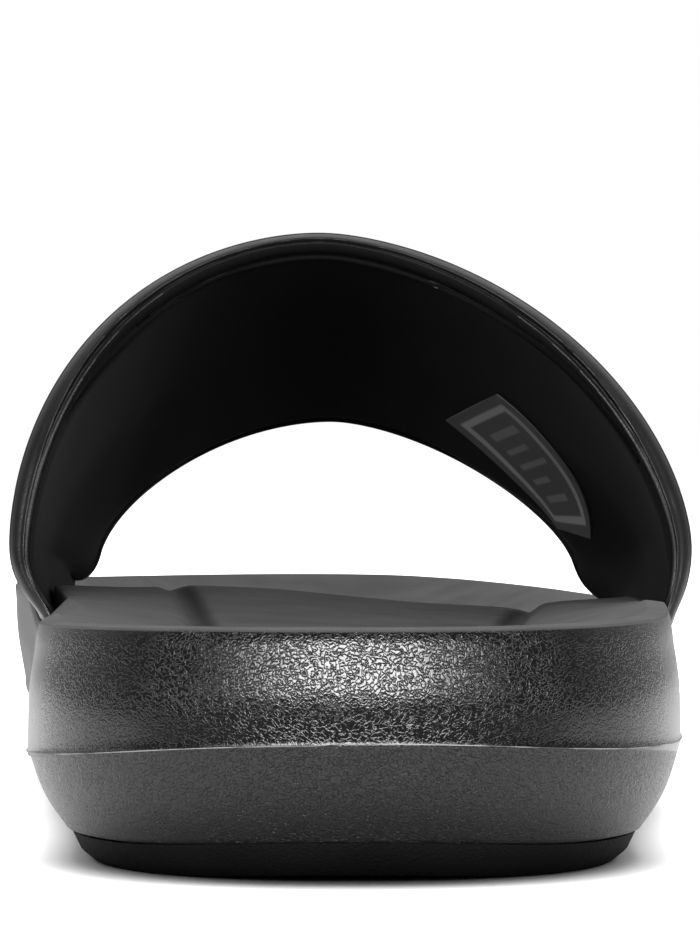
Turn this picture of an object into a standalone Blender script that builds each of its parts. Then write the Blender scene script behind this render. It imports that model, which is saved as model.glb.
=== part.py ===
"""Sport slide sandal for the right foot: a moulded foam sole, an outsole and one padded strap.

Metres, +Z up. The toe points along +Y and the outer (lateral) side of the foot lies towards +X.
The sandal stands on its outsole, and the origin is at the bottom centre of its box.

Run with: blender --background --python part.py
"""

import math
from collections import namedtuple

import bmesh
import bpy
import numpy as np

MM = 0.001

# Driving dimensions of the sole
LENGTH = 285.0 * MM  # heel to toe
BALL_WIDTH = 106.5 * MM  # the widest place, across the ball of the foot
HEEL_WIDTH = 82.0 * MM
RIM_HEIGHT = 30.5 * MM  # the heel's rim above the floor
HEEL_ROUND = 44.0 * MM  # length of the round end at the heel
TOE_ROUND = 74.0 * MM  # length of the round end at the toe
HEEL_FULLNESS = 2.2  # 2 is an ellipse, more is squarer
TOE_FULLNESS = 2.3
HEEL_BEVEL = 2.2 * MM  # how far the back edge of the outsole lifts
TOE_SPRING = 8.5 * MM  # how far the tip of the toe lifts
WAIST_RISE = 1.2 * MM  # how far the waist lifts between the two flat treads
SIDE_FLARE = 5.6 * MM  # how much the forefoot's wall leans out from bottom to top
FLARE_CURVE = 1.1  # 1 is a straight lean, more is steeper near the floor
PARTING_RIDGE = 0.15 * MM  # how far the mould's parting line stands out
PARTING_WIDTH = 1.0 * MM
BANK_WIDTH = 22.0 * MM  # from the sole's edge to the groove beside the footbed
GROOVE_WIDTH = 4.6 * MM
GROOVE_DEPTH = 1.0 * MM
ARCH_RISE = 3.4 * MM  # how much higher the footbed is under the arch of the foot than across from it

# Driving dimensions of the outsole
OUTSOLE_THICKNESS = 3.4 * MM
OUTSOLE_SETBACK = 0.4 * MM  # its edge behind the lower edge of the foam
OUTSOLE_UNDERCUT = 2.9 * MM  # how much narrower it is where it meets the floor
OUTSOLE_ROUND = 0.4  # where its round edge turns in: this share of the undercut in and of the height up
TREAD_DEPTH = 1.5 * MM
TREAD_BORDER = 7.0 * MM  # width of the unbroken lug around the edge
TREAD_CHANNEL = 3.0 * MM  # width of the grooves between the lugs
TREAD_PITCH = 15.5 * MM  # from one cross groove to the next
TREAD_WALL = 0.5 * MM  # how far each groove wall leans

# Driving dimensions of the strap
INSTEP_HEIGHT = 82.4 * MM  # top of the strap at its back edge
STRAP_WALL = 2.2 * MM
STRAP_PADDING = 1.1 * MM  # added to the wall over the sides of the foot
SLOT_DEPTH = 7.0 * MM  # how deep the strap's ends are set in the sole
SLOT_DRAFT = 0.25 * MM  # each slot wall leans out by this much
LEAN_CURVE = 1.9  # how the strap leans out above the sole: 1 is straight, more is steeper higher up
BACK_EDGE_FOOT = 105.0 * MM  # the strap's back edge from the heel, at the sole
BACK_EDGE_SWEEP = 19.0 * MM  # how far it runs forward on its way over the instep
FRONT_CORNER_GAP = 2.0 * MM  # from the strap's front corners to the start of the round toe
FRONT_EDGE_SWEEP = 8.0 * MM  # how far the front edge runs back on its way over the toes
ROLL_WIDTH = 3.6 * MM  # width of the rolled edges
ROLL_PROUD = 0.3 * MM  # how far they stand out of the strap's faces

CLEARANCE = 0.3 * MM  # between pieces that meet

BACK_EDGE_TOP = BACK_EDGE_FOOT + BACK_EDGE_SWEEP
FRONT_EDGE_FOOT = LENGTH - TOE_ROUND - FRONT_CORNER_GAP
FRONT_EDGE_TOP = FRONT_EDGE_FOOT - FRONT_EDGE_SWEEP

# The slots that hold the strap's ends
SLOT_WIDTH = STRAP_WALL + 2 * CLEARANCE
SLOT_START = BACK_EDGE_FOOT - CLEARANCE
SLOT_END = FRONT_EDGE_FOOT + CLEARANCE
SLOT_END_RUN = 1.0 * MM  # each end wall of a slot leans out by this much

# Numbers of points
FAN_STEPS = 12  # on each half of a round end
SIDE_STATIONS = 23  # along each side between the round ends
FLOOR_COLUMNS = 6  # across the middle of the footbed
FOOT_STEPS = 2  # up a strap's end, inside the slot
LEAN_STEPS = 3  # from the sole up to the strap's widest place
ARCH_STEPS = 13  # from there to the top
STRAP_STATIONS = 13
ROLL_SIDES = 8

# The sole's plan. along is a share of LENGTH from the heel, spread runs from HEEL_WIDTH (0) to
# BALL_WIDTH (1), sway moves the middle towards the outer side as a share of BALL_WIDTH, and
# flare is a share of SIDE_FLARE.
Plan = namedtuple("Plan", "along spread sway flare")
PLAN = (
    Plan(0.00, 0.00, 0.000, 0.0),
    Plan(0.15, 0.00, 0.000, 0.0),
    Plan(0.28, 0.14, 0.000, 0.1),
    Plan(0.38, 0.40, -0.001, 0.3),
    Plan(0.48, 0.61, -0.007, 0.6),
    Plan(0.58, 0.84, -0.018, 0.9),
    Plan(0.67, 0.97, -0.025, 1.0),
    Plan(0.74, 1.00, -0.032, 1.0),
    Plan(0.82, 0.92, -0.043, 1.0),
    Plan(0.90, 0.78, -0.055, 0.9),
    Plan(1.00, 0.66, -0.085, 0.8),
)

# The footbed and rim of each side. rim, bank and crown are heights as shares of RIM_HEIGHT: of
# the outer rim, of the bank beside it and of the bank's inner edge. slot is the width of the rim
# as a share of BANK_WIDTH, and groove is a share of GROOVE_DEPTH.
Bed = namedtuple("Bed", "along rim bank crown slot groove")
MEDIAL_BED = (
    Bed(0.00, 0.987, 0.957, 0.885, 0.200, 0.0),
    Bed(0.10, 0.977, 0.948, 0.879, 0.195, 0.1),
    Bed(0.20, 0.970, 0.961, 0.898, 0.180, 0.5),
    Bed(0.30, 0.931, 0.984, 0.951, 0.145, 0.9),
    Bed(0.38, 0.880, 1.007, 0.993, 0.090, 1.0),
    Bed(0.46, 0.945, 1.016, 1.010, 0.085, 1.0),
    Bed(0.53, 1.010, 1.010, 0.995, 0.120, 0.8),
    Bed(0.60, 1.040, 0.960, 0.880, 0.230, 0.3),
    Bed(0.68, 1.035, 0.900, 0.760, 0.345, 0.0),
    Bed(0.80, 0.985, 0.872, 0.705, 0.400, 0.0),
    Bed(0.92, 0.955, 0.885, 0.738, 0.230, 0.0),
    Bed(1.00, 0.948, 0.892, 0.755, 0.200, 0.0),
)
LATERAL_BED = (
    Bed(0.00, 0.987, 0.957, 0.885, 0.200, 0.0),
    Bed(0.10, 1.003, 0.964, 0.879, 0.195, 0.1),
    Bed(0.19, 1.040, 0.995, 0.898, 0.180, 0.5),
    Bed(0.28, 0.960, 0.990, 0.931, 0.145, 0.9),
    Bed(0.37, 0.800, 0.972, 0.957, 0.070, 1.0),
    Bed(0.46, 0.754, 0.967, 0.951, 0.092, 1.0),
    Bed(0.53, 0.785, 0.955, 0.915, 0.145, 0.8),
    Bed(0.60, 0.836, 0.905, 0.820, 0.225, 0.3),
    Bed(0.68, 0.872, 0.850, 0.730, 0.240, 0.0),
    Bed(0.80, 0.867, 0.836, 0.695, 0.250, 0.0),
    Bed(0.92, 0.900, 0.865, 0.735, 0.230, 0.0),
    Bed(1.00, 0.948, 0.892, 0.755, 0.200, 0.0),
)

# The floor of the footbed along its middle, as shares of RIM_HEIGHT.
Floor = namedtuple("Floor", "along height")
FLOOR = (
    Floor(0.00, 0.846),
    Floor(0.12, 0.830),
    Floor(0.25, 0.846),
    Floor(0.36, 0.886),
    Floor(0.47, 0.918),
    Floor(0.55, 0.875),
    Floor(0.66, 0.722),
    Floor(0.76, 0.656),
    Floor(0.88, 0.653),
    Floor(1.00, 0.680),
)

# The arch of the footbed. Its middle and reach are shares of LENGTH, and it rises across a band to
# each side of the sole's middle, a share of half of BALL_WIDTH.
ARCH_MIDDLE = 0.45
ARCH_REACH = 0.14
ARCH_BAND = 0.45

# The side of the foam from its lower edge to its rim. up is a share of that height, and setback
# is the distance behind the widest outline as a share of BANK_WIDTH.
Side = namedtuple("Side", "up setback")
SIDE_BELOW = (
    Side(0.00, 0.236),
    Side(0.05, 0.191),
    Side(0.14, 0.110),
    Side(0.25, 0.052),
    Side(0.36, 0.014),
)
SIDE_ABOVE = (
    Side(0.68, 0.000),
    Side(0.82, 0.036),
    Side(0.93, 0.048),
)
# The round top of the rim. in_from_side is a share of the rim's width, and drop is below its crest
# as a share of RIM_HEIGHT.
Crest = namedtuple("Crest", "in_from_side drop")
RIM_CREST = (
    Crest(0.25, 0.020),
    Crest(0.60, 0.003),
)
# From the crown of the bank down its inner face: a share of GROOVE_WIDTH outside the groove's
# middle, and how far down the face that lies.
BANK_FACE_AT = 0.45
BANK_FACE_DOWN = 0.45

# The height of the parting line on each side, as shares of the foam's side.
Parting = namedtuple("Parting", "along medial lateral")
PARTING = (
    Parting(0.00, 0.440, 0.440),
    Parting(0.16, 0.370, 0.415),
    Parting(0.60, 0.390, 0.410),
    Parting(1.00, 0.430, 0.430),
)

# Where the sole touches the floor: heel_tread and ball_tread, as shares of LENGTH.
HEEL_TREAD = (0.07, 0.30)
BALL_TREAD = (0.48, 0.72)

# The form of the foot under the strap, a row for each section. top is a share of INSTEP_HEIGHT,
# ridge is the place of the top across the foot, medial and lateral are the widest places, all
# three as shares of half of BALL_WIDTH from the heel's centreline. widest is their height as a
# share of RIM_HEIGHT. The last two are the fullness of the arch on each side: 2 is an ellipse.
Last = namedtuple("Last", "along top ridge medial lateral widest full_medial full_lateral")
LAST = (
    Last(0.34, 1.072, -0.094, 0.900, 0.876, 1.21, 1.94, 1.69),
    Last(0.44, 0.998, -0.094, 0.922, 0.904, 1.21, 1.90, 1.67),
    Last(0.58, 0.856, -0.094, 0.940, 0.895, 1.17, 1.85, 1.58),
    Last(0.70, 0.704, -0.070, 0.850, 0.742, 1.09, 1.88, 1.64),
    Last(0.78, 0.598, -0.060, 0.795, 0.680, 1.04, 1.86, 1.62),
)


def clear_scene():
    for obj in list(bpy.data.objects):
        bpy.data.objects.remove(obj, do_unlink=True)


def curve(rows, column, along):
    """Reads a column of a table at any place along it, on a smooth curve that never overshoots its rows."""
    places = np.array([row.along for row in rows])
    values = np.array([getattr(row, column) for row in rows])
    slopes = np.diff(values) / np.diff(places)
    tangents = np.zeros(len(rows))
    for i in range(1, len(rows) - 1):
        before, after = slopes[i - 1], slopes[i]
        if before * after > 0:
            tangents[i] = 2 * before * after / (before + after)
    tangents[0], tangents[-1] = slopes[0], slopes[-1]
    at = np.clip(np.asarray(along, float), places[0], places[-1])
    i = np.clip(np.searchsorted(places, at) - 1, 0, len(rows) - 2)
    step = places[i + 1] - places[i]
    t = (at - places[i]) / step
    rise = (3 - 2 * t) * t * t
    return (
        values[i] * (1 - rise)
        + values[i + 1] * rise
        + step * t * (1 - t) * (tangents[i] * (1 - t) - tangents[i + 1] * t)
    )


def ease(t):
    """0 to 1 with a level start and end."""
    t = np.clip(t, 0.0, 1.0)
    return t * t * (3 - 2 * t)


# The sole's plan


def middle_of(y):
    return curve(PLAN, "sway", y / LENGTH) * BALL_WIDTH


def half_width(y):
    return (HEEL_WIDTH + (BALL_WIDTH - HEEL_WIDTH) * curve(PLAN, "spread", y / LENGTH)) / 2


def side_stations(count, extra=()):
    """Places along the sides between the two round ends, with some exact ones added."""
    start, end = HEEL_ROUND, LENGTH - TOE_ROUND
    spacing = (end - start) / count
    plain = [start + spacing * i for i in range(count + 1)]
    kept = [y for y in plain if all(abs(y - e) > spacing / 3 for e in extra)]
    inside = [e for e in extra if start < e < end]
    return sorted(set(kept + inside) | {start, end})


class Loop:
    """Points around the sole's widest outline: heel tip, outer side, toe tip, inner side.

    side runs from -1 at the inner edge to 1 at the outer edge, and centre is the point that an
    inset moves towards: straight across on the sides, and to the middle of a round end.
    """

    def __init__(self, stations):
        fan = [math.pi / 2 * i / FAN_STEPS for i in range(FAN_STEPS)]
        heel = [
            (
                HEEL_ROUND * (1 - math.cos(a) ** (2 / HEEL_FULLNESS)),
                math.sin(a) ** (2 / HEEL_FULLNESS),
            )
            for a in fan
        ]
        toe = [
            (
                LENGTH - TOE_ROUND * (1 - math.cos(a) ** (2 / TOE_FULLNESS)),
                math.sin(a) ** (2 / TOE_FULLNESS),
            )
            for a in reversed(fan)
        ]
        outer = heel + [(y, 1.0) for y in stations] + toe
        inner = [(y, -across) for y, across in reversed(outer[1:-1])]
        points = outer + inner
        self.y = np.array([p[0] for p in points])
        self.side = np.array([p[1] for p in points])
        self.x = middle_of(self.y) + self.side * half_width(self.y)
        self.centre_y = np.clip(self.y, HEEL_ROUND, LENGTH - TOE_ROUND)
        self.centre_x = middle_of(self.centre_y)
        self.reach = np.hypot(self.centre_x - self.x, self.centre_y - self.y)
        self.along = self.y / LENGTH

    def inset(self, distance):
        share = distance / self.reach
        x = self.x + (self.centre_x - self.x) * share
        y = self.y + (self.centre_y - self.y) * share
        return x, y

    def across(self, inner_rows, inner_column, outer_rows, outer_column):
        """Reads one column for each side and blends them across the round ends."""
        outer = ease((self.side + 1) / 2)
        medial = curve(inner_rows, inner_column, self.along)
        lateral = curve(outer_rows, outer_column, self.along)
        return medial * (1 - outer) + lateral * outer

    def bed(self, column):
        return self.across(MEDIAL_BED, column, LATERAL_BED, column)

    def flare(self, up):
        """How far the leaning wall of the forefoot lies behind the outline, at a share of its height."""
        return SIDE_FLARE * curve(PLAN, "flare", self.along) * (1 - up) ** FLARE_CURVE


# Heights


def ground(y):
    """The underside of the outsole: level under heel and ball, lifted at both ends and the waist."""
    along = np.asarray(y, float) / LENGTH
    heel = HEEL_BEVEL * np.clip(1 - along / HEEL_TREAD[0], 0, 1) ** 2
    toe = TOE_SPRING * np.clip((along - BALL_TREAD[1]) / (1 - BALL_TREAD[1]), 0, 1) ** 1.7
    waist_share = np.clip((along - HEEL_TREAD[1]) / (BALL_TREAD[0] - HEEL_TREAD[1]), 0, 1)
    waist = WAIST_RISE * np.sin(math.pi * waist_share) ** 2
    return heel + toe + waist


def foam_bottom(y):
    return ground(y) + OUTSOLE_THICKNESS + CLEARANCE


def floor_height(x, y):
    """The floor of the footbed: level across the heel and the toes, and higher under the arch."""
    across = (x - middle_of(y)) / (BALL_WIDTH / 2)
    inner_side = 1 - ease((across + ARCH_BAND) / (2 * ARCH_BAND))
    arch = np.exp(-(((y / LENGTH - ARCH_MIDDLE) / ARCH_REACH) ** 2))
    return curve(FLOOR, "height", y / LENGTH) * RIM_HEIGHT + ARCH_RISE * inner_side * arch


def rim_height(y, side):
    table = LATERAL_BED if side > 0 else MEDIAL_BED
    return curve(table, "rim", y / LENGTH) * RIM_HEIGHT


def slot_inset(y, side):
    """From the sole's outline to the slot that holds the strap's end."""
    table = LATERAL_BED if side > 0 else MEDIAL_BED
    return curve(table, "slot", y / LENGTH) * BANK_WIDTH


# Meshes


def skin_rings(mesh, rings):
    """Joins closed rings of equally many points with bands of faces, and returns their vertices."""
    made = [[mesh.verts.new(p) for p in ring] for ring in rings]
    for first, second in zip(made, made[1:]):
        count = len(first)
        for i in range(count):
            j = (i + 1) % count
            mesh.faces.new((first[i], first[j], second[j], second[i]))
    return made


def fill_across(mesh, ring, columns, height):
    """Closes a ring with strips from its outer side to its inner side, at a height for each point."""
    count = len(ring)
    half = count // 2
    rows = []
    for i in range(1, half):
        outer, inner = ring[i], ring[count - i]
        row = [outer]
        for k in range(1, columns):
            x, y, _ = outer.co.lerp(inner.co, k / columns)
            row.append(mesh.verts.new((x, y, height(x, y))))
        rows.append(row + [inner])
    for first, second in zip(rows, rows[1:]):
        for k in range(columns):
            mesh.faces.new((first[k], first[k + 1], second[k + 1], second[k]))
    for tip, row in ((ring[0], rows[0]), (ring[half], rows[-1])):
        for k in range(columns):
            mesh.faces.new((tip, row[k], row[k + 1]))


def finish_mesh(name, mesh, material, smooth_angle=math.radians(40)):
    """Turns a bmesh into a named, smooth-shaded object with its faces pointing out."""
    bmesh.ops.recalc_face_normals(mesh, faces=mesh.faces)
    if mesh.calc_volume(signed=True) < 0:
        bmesh.ops.reverse_faces(mesh, faces=mesh.faces)
    data = bpy.data.meshes.new(name)
    mesh.to_mesh(data)
    mesh.free()
    data.shade_smooth()
    data.set_sharp_from_angle(angle=smooth_angle)
    data.materials.append(material)
    obj = bpy.data.objects.new(name, data)
    bpy.context.scene.collection.objects.link(obj)
    return obj


# Materials


def principled(name, colour, roughness, metallic=0.0):
    material = bpy.data.materials.new(name)
    material.use_nodes = True
    shader = material.node_tree.nodes["Principled BSDF"]
    shader.inputs["Base Color"].default_value = (*colour, 1.0)
    shader.inputs["Roughness"].default_value = roughness
    shader.inputs["Metallic"].default_value = metallic
    return material


# Midsole


def midsole_side(loop, rim):
    """Rings up the outer wall: the lower curve, the parting line, the upper curve and the round edge."""
    rings = []

    def ring(up, setback):
        x, y = loop.inset(setback + loop.flare(up))
        bottom = foam_bottom(y)
        rings.append((x, y, bottom + (rim - bottom) * up))

    for row in SIDE_BELOW:
        ring(row.up, row.setback * BANK_WIDTH)
    parting = loop.across(PARTING, "medial", PARTING, "lateral")
    half = PARTING_WIDTH / 2 / (rim - foam_bottom(loop.y))
    ring(parting - half, 0.0)
    ring(parting, -PARTING_RIDGE)
    ring(parting + half, 0.0)
    for row in SIDE_ABOVE:
        ring(row.up, row.setback * BANK_WIDTH)
    return rings


def midsole_top(loop, rim):
    """Rings over the rim, through the slots, over the bank and its groove and onto the floor."""
    rings = []

    def ring(setback, z):
        x, y = loop.inset(setback)
        rings.append((x, y, z))

    slot = loop.bed("slot") * BANK_WIDTH
    bank = loop.bed("bank") * RIM_HEIGHT
    crown = loop.bed("crown") * RIM_HEIGHT
    groove = loop.bed("groove") * GROOVE_DEPTH
    edge = SIDE_ABOVE[-1].setback * BANK_WIDTH
    for row in RIM_CREST:
        ring(edge + (slot - edge) * row.in_from_side, rim - row.drop * RIM_HEIGHT)
    ring(slot, rim)

    in_slot = (loop.y >= SLOT_START) & (loop.y <= SLOT_END)
    slot_floor = rim - SLOT_DEPTH
    inner = slot + 2 * SLOT_DRAFT + SLOT_WIDTH
    near, far = 0.1, 0.9  # where no slot is cut, these rings lie on the slope from rim to bank
    ring(slot + SLOT_DRAFT, np.where(in_slot, slot_floor, rim + (bank - rim) * near))
    ring(inner - SLOT_DRAFT, np.where(in_slot, slot_floor, rim + (bank - rim) * far))
    ring(inner, bank)

    crown_inset = BANK_WIDTH - GROOVE_WIDTH
    ring((inner + crown_inset) / 2, (bank + crown) / 2)
    ring(crown_inset, crown)
    floor = floor_height(*loop.inset(BANK_WIDTH))
    ring(BANK_WIDTH - GROOVE_WIDTH * BANK_FACE_AT, crown + (floor - crown) * BANK_FACE_DOWN)
    ring(BANK_WIDTH, floor - groove)
    ring(BANK_WIDTH + GROOVE_WIDTH / 2, floor)
    middle_inset = (BANK_WIDTH + loop.reach) / 2
    ring(middle_inset, floor_height(*loop.inset(middle_inset)))
    return rings


def midsole(material):
    """The moulded foam body: walls, rim, banks, footbed and the slots for the strap's ends."""
    exact = (
        SLOT_START - SLOT_END_RUN,
        SLOT_START,
        SLOT_END,
        SLOT_END + SLOT_END_RUN,
    )
    loop = Loop(side_stations(SIDE_STATIONS, exact))
    rim = loop.bed("rim") * RIM_HEIGHT
    rings = midsole_side(loop, rim) + midsole_top(loop, rim)
    mesh = bmesh.new()
    made = skin_rings(mesh, [np.column_stack(ring) for ring in rings])
    fill_across(mesh, made[0], 2, lambda x, y: float(foam_bottom(y)))
    fill_across(mesh, made[-1], FLOOR_COLUMNS, lambda x, y: float(floor_height(x, y)))
    return finish_mesh("midsole", mesh, material)


# Outsole


def cross_grooves():
    """The middles of the cross grooves between the round ends of the tread."""
    start = HEEL_ROUND + TREAD_PITCH / 2
    room = LENGTH - TOE_ROUND - start - TREAD_PITCH / 4
    count = int(room // TREAD_PITCH) + 1
    return [start + TREAD_PITCH * i for i in range(count)]


def outsole(material):
    """The bottom layer: a border lug all round, a channel inside it and lugs parted by cross grooves."""
    half = TREAD_CHANNEL / 2
    exact = []
    for y in cross_grooves():
        exact += [y - half - TREAD_WALL, y - half, y + half, y + half + TREAD_WALL]
    loop = Loop(side_stations(len(cross_grooves()), exact))
    lower_edge = SIDE_BELOW[0].setback * BANK_WIDTH + OUTSOLE_SETBACK + loop.flare(0.0)
    mesh = bmesh.new()
    rings = []

    def ring(inset, lift):
        x, y = loop.inset(inset)
        rings.append(np.column_stack((x, y, ground(y) + lift)))

    border = lower_edge + OUTSOLE_UNDERCUT + TREAD_BORDER
    ring(lower_edge + TREAD_BORDER, OUTSOLE_THICKNESS)
    ring(lower_edge, OUTSOLE_THICKNESS)
    ring(lower_edge + OUTSOLE_UNDERCUT * OUTSOLE_ROUND, OUTSOLE_THICKNESS * OUTSOLE_ROUND)
    ring(lower_edge + OUTSOLE_UNDERCUT, 0.0)
    ring(border, 0.0)
    ring(border + TREAD_WALL, TREAD_DEPTH)
    ring(border + TREAD_WALL + TREAD_CHANNEL, TREAD_DEPTH)

    def lug_lift(y):
        """The depth of the tread at y: full in a cross groove, none on a lug."""
        rounding = 0.001 * MM
        in_groove = any(abs(y - middle) <= half + rounding for middle in cross_grooves())
        return TREAD_DEPTH if in_groove else 0.0

    ring(border + TREAD_WALL * 2 + TREAD_CHANNEL, np.array([lug_lift(y) for y in loop.y]))
    made = skin_rings(mesh, rings)
    fill_across(mesh, made[0], 2, lambda x, y: float(ground(y)) + OUTSOLE_THICKNESS)
    fill_across(mesh, made[-1], 2, lambda x, y: float(ground(y)) + lug_lift(y))
    return finish_mesh("outsole", mesh, material, math.radians(25))


# Strap


STEPS = FOOT_STEPS + LEAN_STEPS + ARCH_STEPS


def last_at(column, y):
    return float(curve(LAST, column, y / LENGTH))


def strap_point(y, side, step):
    """A point of the strap's outer face, at station y and a step from 0 (its end) to STEPS (its top).

    side is -1 on the inner side of the foot and 1 on the outer side.
    """
    half_ball = BALL_WIDTH / 2
    edge = float(middle_of(y) + side * half_width(y))
    foot_x = edge - side * (float(slot_inset(y, side)) + SLOT_DRAFT + CLEARANCE)
    rim = float(rim_height(y, side))
    if step <= FOOT_STEPS:
        start = rim - SLOT_DEPTH + CLEARANCE
        return np.array((foot_x, y, start + (rim - start) * step / FOOT_STEPS))
    widest_x = side * last_at("lateral" if side > 0 else "medial", y) * half_ball
    widest_z = last_at("widest", y) * RIM_HEIGHT
    if step <= FOOT_STEPS + LEAN_STEPS:
        t = (step - FOOT_STEPS) / LEAN_STEPS
        lean = 1 - (1 - t) ** LEAN_CURVE
        return np.array((foot_x + (widest_x - foot_x) * lean, y, rim + (widest_z - rim) * t))
    angle = math.pi / 2 * (step - FOOT_STEPS - LEAN_STEPS) / ARCH_STEPS
    power = 2 / last_at("full_lateral" if side > 0 else "full_medial", y)
    ridge_x = last_at("ridge", y) * half_ball
    top_z = last_at("top", y) * INSTEP_HEIGHT
    out = max(math.cos(angle), 0.0) ** power
    up = math.sin(angle) ** power
    return np.array((ridge_x + (widest_x - ridge_x) * out, y, widest_z + (top_z - widest_z) * up))


def strap_frame(y, side, step):
    """Point, outward normal and the direction towards the toe along the strap's outer face."""
    nudge = 0.05
    point = strap_point(y, side, step)
    low, high = max(step - nudge, 0.0), min(step + nudge, STEPS)
    up = strap_point(y, side, high) - strap_point(y, side, low)
    if step > STEPS - nudge:
        up = np.array((-side, 0.0, 0.0))
    forward = strap_point(y + nudge * MM, side, step) - strap_point(y - nudge * MM, side, step)
    forward /= np.linalg.norm(forward)
    normal = np.cross(up, forward) * -side
    normal /= np.linalg.norm(normal)
    return point, normal, forward


def wall_at(step):
    """The wall's thickness: thin in the slot and over the top, padded along the sides of the foot."""
    t = max(step - FOOT_STEPS, 0.0) / (STEPS - FOOT_STEPS)
    return STRAP_WALL + STRAP_PADDING * math.sin(math.pi * t) ** 2


def edge_line(foot_y, top_y, step):
    """The place of a strap edge at a step: it leans from foot_y at the sole to top_y over the foot."""
    t = max(step - FOOT_STEPS, 0.0) / (STEPS - FOOT_STEPS)
    return foot_y + (top_y - foot_y) * float(ease(t))


def arch_steps():
    """Side and step of each point along an arch, from the inner end over the top to the outer end."""
    inner = [(-1, step) for step in range(STEPS + 1)]
    outer = [(1, step) for step in range(STEPS - 1, -1, -1)]
    return inner + outer


def strap(material):
    """The strap's wall between its two rolled edges, with its ends in the sole's slots."""
    mesh = bmesh.new()
    outer_rows, inner_rows = [], []
    margin = ROLL_WIDTH + CLEARANCE
    for i in range(STRAP_STATIONS):
        share = i / (STRAP_STATIONS - 1)
        outer, inner = [], []
        for side, step in arch_steps():
            back = edge_line(BACK_EDGE_FOOT, BACK_EDGE_TOP, step) + margin
            front = edge_line(FRONT_EDGE_FOOT, FRONT_EDGE_TOP, step) - margin
            point, normal, _ = strap_frame(back + (front - back) * share, side, step)
            outer.append(mesh.verts.new(point))
            inner.append(mesh.verts.new(point - normal * wall_at(step)))
        outer_rows.append(outer)
        inner_rows.append(inner)
    rings = [outer + list(reversed(inner)) for outer, inner in zip(outer_rows, inner_rows)]
    count = len(rings[0])
    for first, second in zip(rings, rings[1:]):
        for i in range(count):
            j = (i + 1) % count
            mesh.faces.new((first[i], first[j], second[j], second[i]))
    for outer, inner in ((outer_rows[0], inner_rows[0]), (outer_rows[-1], inner_rows[-1])):
        for i in range(len(outer) - 1):
            mesh.faces.new((outer[i], outer[i + 1], inner[i + 1], inner[i]))
    return finish_mesh("strap", mesh, material)


def rolled_edge(name, material, foot_y, top_y, inward):
    """A rolled edge: a bead on the strap's own surface, beyond the end of its wall."""
    mesh = bmesh.new()
    rings = []
    for side, step in arch_steps():
        y = edge_line(foot_y, top_y, step) + inward * ROLL_WIDTH / 2
        point, normal, forward = strap_frame(y, side, step)
        wall = wall_at(step)
        above = float(ease((step - FOOT_STEPS) / LEAN_STEPS))
        centre = point - normal * wall / 2
        thick = wall / 2 + ROLL_PROUD * above
        ring = []
        for i in range(ROLL_SIDES):
            angle = 2 * math.pi * (i + 0.5) / ROLL_SIDES
            along, across = math.cos(angle), math.sin(angle)
            round_off = math.cos(math.pi / ROLL_SIDES)
            along = min(max(along / round_off, -1.0), 1.0)
            ring.append(centre + forward * along * ROLL_WIDTH / 2 + normal * across * thick)
        rings.append(ring)
    made = skin_rings(mesh, rings)
    mesh.faces.new(made[0])
    mesh.faces.new(made[-1])
    return finish_mesh(name, mesh, material)


def place_at_origin(objects):
    """Moves every piece so that the origin is at the bottom centre of their common box."""
    points = [vertex.co for obj in objects for vertex in obj.data.vertices]
    low = [min(p[i] for p in points) for i in range(3)]
    high = [max(p[i] for p in points) for i in range(3)]
    offset = ((low[0] + high[0]) / 2, (low[1] + high[1]) / 2, low[2])
    for obj in objects:
        for vertex in obj.data.vertices:
            vertex.co = [vertex.co[i] - offset[i] for i in range(3)]


def main():
    clear_scene()
    foam = principled("charcoal_foam", (0.028, 0.029, 0.031), 0.55)
    rubber = principled("black_rubber", (0.016, 0.016, 0.017), 0.7)
    skin = principled("black_synthetic_leather", (0.012, 0.012, 0.013), 0.45)
    edging = principled("black_edging", (0.018, 0.018, 0.020), 0.5)
    pieces = [
        midsole(foam),
        outsole(rubber),
        strap(skin),
        rolled_edge("strap_back_edge", edging, BACK_EDGE_FOOT, BACK_EDGE_TOP, 1),
        rolled_edge("strap_front_edge", edging, FRONT_EDGE_FOOT, FRONT_EDGE_TOP, -1),
    ]
    place_at_origin(pieces)


main()
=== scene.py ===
# %% [markdown]
# # A sport slide sandal, step by step
#
# A slide is the simplest shoe there is: a thick moulded foam sole and one padded strap. This
# lesson dresses a measured CAD model of a black one, seen from straight behind the heel.
#
# The CAD model fixes every size. Each piece made here starts as a copy of a CAD solid, so that it
# lies where the real one does, and then gets the softness and the finish that a CAD solid lacks.

import math

import bpy
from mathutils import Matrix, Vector, noise
from mathutils.bvhtree import BVHTree


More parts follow.
